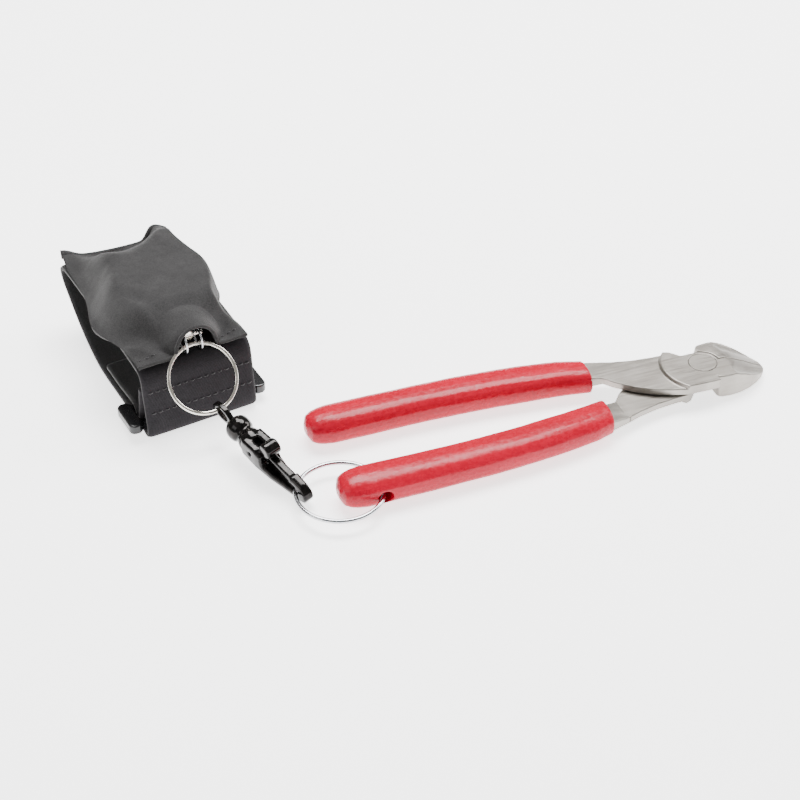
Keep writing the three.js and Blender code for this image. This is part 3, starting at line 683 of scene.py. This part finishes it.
def stitches(name, runs, thick=0.34, long=2.0, gap=1.15, body="pouch"):
    """Rows of short sewn stitches. Each run is a line of (place, outward) pairs in metres."""
    verts, faces = [], []
    for run in runs:
        line = [Vector(place) for place, _ in run]
        outs = [Vector(out) for _, out in run]
        along = [0.0]
        for a, b in zip(line, line[1:]):
            along.append(along[-1] + (b - a).length)

        def at(distance):
            i = 0
            while i < len(line) - 2 and along[i + 1] < distance:
                i += 1
            share = (distance - along[i]) / max(1e-9, along[i + 1] - along[i])
            return line[i].lerp(line[i + 1], share), outs[i].lerp(outs[i + 1], share).normalized()

        begin = 0.5 * MM
        while begin + long * MM < along[-1]:
            base = len(verts)
            rings, sides = 7, 8
            for r in range(rings):
                share = r / (rings - 1)
                place, out = at(begin + long * MM * share)
                ahead, _ = at(begin + long * MM * min(1.0, share + 0.1))
                behind, _ = at(begin + long * MM * max(0.0, share - 0.1))
                way = (ahead - behind).normalized()
                beside = way.cross(out).normalized()
                fat = thick * MM * max(0.12, math.sin(math.pi * (0.08 + 0.84 * share)) ** 0.5)
                lift = thick * MM * (0.95 * math.sin(math.pi * share) - 0.45)
                for k in range(sides):
                    t = 2 * math.pi * k / sides
                    verts.append(place + out * (lift + 0.6 * fat * math.sin(t))
                                 + beside * (fat * math.cos(t)))
            for r in range(rings - 1):
                for k in range(sides):
                    a, b = base + r * sides, base + (r + 1) * sides
                    faces.append((a + k, b + k, b + (k + 1) % sides, a + (k + 1) % sides))
            faces.append(tuple(base + k for k in reversed(range(sides))))
            faces.append(tuple(base + (rings - 1) * sides + k for k in range(sides)))
            begin += (long + gap) * MM
    return new_piece(name, verts, faces, THREAD, body)


def panel_row(height, u_from=1.6, u_to=48.4):
    """A row across the strap's front panel at a height."""
    line = [p for p in spline([(v, z, 0) for v, z in STRAP_LINE], 14)[90:150]]
    near = min(range(1, len(line) - 1), key=lambda i: abs(line[i].y - height))
    along = (line[near + 1] - line[near - 1]).normalized()
    out = Vector((along.y, -along.x, 0))
    if out.x > 0:
        out = -out
    face = line[near] + out * (BAND_THICK / 2 * 0.98 + 0.06)
    way = CORD_PULL * out.x + Vector((0, 0, out.y))
    return [(pouch(u_from + (u_to - u_from) * k / 24, face.x, face.y), way) for k in range(25)]


strap, strap_length = make_strap()
panel_stitches = stitches("panel_stitching", [panel_row(23.6), panel_row(13.4)])

# ---- Hood -------------------------------------------------------------------------------------------

HOOD_BASE, HOOD_DOME, MOUTH_TOP, MOUTH_AT, HALF_MOUTH, HOOD_FRONT = 37.2, 50.4, 49.1, 26.0, 9.4, 3.0


HOOD_COLUMNS, HOOD_ROWS = 104, 132


def hood_left(v):
    return -0.5 - 5.3 * hill(v, 40, 15) + 1.2 * hill(v, 95, 8)


def hood_right(v):
    return 49.0 - 3.0 * hill(v, 22, 7.5) + 3.8 * hill(v, 46, 14)


def hood_back(u):
    return 94 - 0.1 * u - 2.2 * math.sin(math.pi * u / BAND_WIDTH)


def fold(u, v, start, end, wide, high):
    """A soft ridge (high > 0) or furrow along a line in the hood's plan, dying out at both ends."""
    (au, av), (bu, bv) = start, end
    run = Vector((bu - au, bv - av))
    share = ((u - au) * run.x + (v - av) * run.y) / run.length_squared
    if not -0.15 < share < 1.15:
        return 0.0
    off = abs((u - au) * run.y - (v - av) * run.x) / run.length
    return high * hill(off, 0, wide) * math.sin(math.pi * min(1, max(0, (share + 0.15) / 1.3))) ** 0.8


def hood_height(u, v):
    """Height of the hood's face: stretched over the reel, pinched at its corners, arched at its mouth."""
    left, right, back = u - hood_left(v), hood_right(v) - u, hood_back(u) - v
    back_reach = 27 - 11 * ease((u - 22) / 20)
    dome = (HOOD_DOME - HOOD_BASE) * ease((left + 0.5) / 15) * ease((right + 0.4) / 5) ** 0.75 \
        * ease((v - 3) / 23) * ease(back / back_reach)
    reach = max(0.0, 1 - ((u - MOUTH_AT) / (HALF_MOUTH + 0.95 * (v - HOOD_FRONT))) ** 2)
    fan = 0.5 + 1.1 * ease((v - HOOD_FRONT) / 13)
    arch = (MOUTH_TOP - HOOD_BASE) * reach ** fan * (1 - ease((v - 14) / 28))
    # The dome and the arch meet in a soft valley, not in a crease.
    top = math.log(math.exp(dome * 0.9) + math.exp(arch * 0.9) - 1) / 0.9
    top = min(top, max(dome, arch) + 0.5)
    ear_wide = 3.6 if u < 43.4 else 8.0
    ears = 2.4 * hill(u, 1, 6) * hill(v, 93, 7) + 6.4 * hill(u, 43.4, ear_wide) * hill(v, 87.6, 7)
    folds = (
        fold(u, v, (15, 7), (3, 24), 2.6, -1.9) + fold(u, v, (9, 5), (0, 16), 2.2, 1.3)
        + fold(u, v, (12, 16), (-1, 36), 3.0, 1.2) + fold(u, v, (18, 22), (2, 46), 3.4, -0.9)
        + fold(u, v, (38, 6), (47, 20), 2.4, -1.8) + fold(u, v, (43, 5), (50, 12), 2.0, 1.1)
        + fold(u, v, (41, 18), (50, 34), 2.6, 0.9)
        + fold(u, v, (6, 90), (17, 66), 3.4, 0.9) + fold(u, v, (2, 84), (8, 62), 2.6, -0.9)
        + fold(u, v, (44, 86), (37, 66), 3.0, 0.8) + fold(u, v, (34, 84), (30, 70), 2.6, -0.6)
        + fold(u, v, (14, 88), (38, 84), 2.4, -0.8)
    )
    calm = ease(left / 1.5) * ease(right / 1.5) * ease(back / 1.5)
    slow = (0.28 * field.noise(Vector((u * 0.11, v * 0.09, 3)))
            + 0.1 * field.noise(Vector((u * 0.35, v * 0.3, 8))))
    return HOOD_BASE + top + ears + (folds + slow) * calm


def hood_droop(u, v):
    """How far the hood's side hangs below its seam where it bulges past the strap."""
    return 2.6 * ease((0.8 - u) / 5) + 1.6 * ease((u - 49.8) / 2.6)


def make_hood():
    columns, rows = HOOD_COLUMNS, HOOD_ROWS
    places = []
    for j in range(rows + 1):
        row = []
        for i in range(columns + 1):
            share = i / columns
            share = share + 0.035 * math.sin(4 * math.pi * share) / 2
            v = HOOD_FRONT + (hood_back(BAND_WIDTH * share) - HOOD_FRONT) * (j / rows) ** 0.96
            u = hood_left(v) + (hood_right(v) - hood_left(v)) * share
            row.append((u, v, hood_height(u, v) - hood_droop(u, v)))
        places.append(row)
    return places, columns, rows


def hood_piece():
    places, columns, rows = make_hood()
    verts = [pouch(*p) for row in places for p in row]
    wide = columns + 1
    faces = [(j * wide + i, j * wide + i + 1, (j + 1) * wide + i + 1, (j + 1) * wide + i)
             for j in range(rows) for i in range(columns)]
    made = new_piece("hood_cover", verts, faces, FINISHES["hood_fabric"], "pouch")
    modify(made, "SOLIDIFY", thickness=1.5 * MM, offset=-1)
    modify(made, "BEVEL", width=0.5 * MM, segments=3, limit_method="ANGLE", angle_limit=math.radians(50))
    applied(made)
    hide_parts("hood")
    return made, places


hood, hood_places = hood_piece()


def hood_run(cells, lift=0.1):
    """A line on the hood's outer face through (column, row) cells, with its outward directions."""
    run = []
    for i, j in cells:
        u, v, z = hood_places[j][i]
        right = Vector(hood_places[j][min(i + 1, HOOD_COLUMNS)]) - Vector(hood_places[j][max(i - 1, 0)])
        back = Vector(hood_places[min(j + 1, HOOD_ROWS)][i]) - Vector(hood_places[max(j - 1, 0)][i])
        out = right.cross(back).normalized()
        place = Vector((u, v, z)) + out * lift
        run.append((pouch(*place), POUCH_X * out.x + CORD_PULL * out.y + Vector((0, 0, out.z))))
    return run


hood_stitches = stitches("hood_stitching", [
    hood_run([(i, 4) for i in range(2, 22)]),
    hood_run([(i, 4) for i in range(82, 103)]),
], thick=0.3, long=1.7)


def hood_hem(cells, name, radius, roll=0.0):
    """The rolled hem along one edge of the hood."""
    line = [Vector(hood_places[j][i]) for i, j in cells]

    def section(k):
        way = (line[min(k + 1, len(line) - 1)] - line[max(k - 1, 0)]).normalized()
        up = (Vector((0, 0, 1)) - way * way.z).normalized()
        side = way.cross(up)
        found = []
        for s in range(12):
            t = 2 * math.pi * s / 12
            fat = radius * (1 + roll * (hill(k, 0, 11) + 0.5 * hill(k, 90, 8)))
            place = line[k] + Vector((0, 0, -0.75)) + (side * math.cos(t) * 1.15 + up * math.sin(t)) * fat
            found.append(pouch(*place))
        return found

    return swept(name, len(line), section, FINISHES["hood_fabric"], "pouch")


front_hem = hood_hem([(i, 0) for i in range(HOOD_COLUMNS + 1)], "hood_front_hem", 0.8)
back_hem = hood_hem([(i, HOOD_ROWS) for i in range(HOOD_COLUMNS + 1)], "hood_back_hem", 1.0, 0.9)
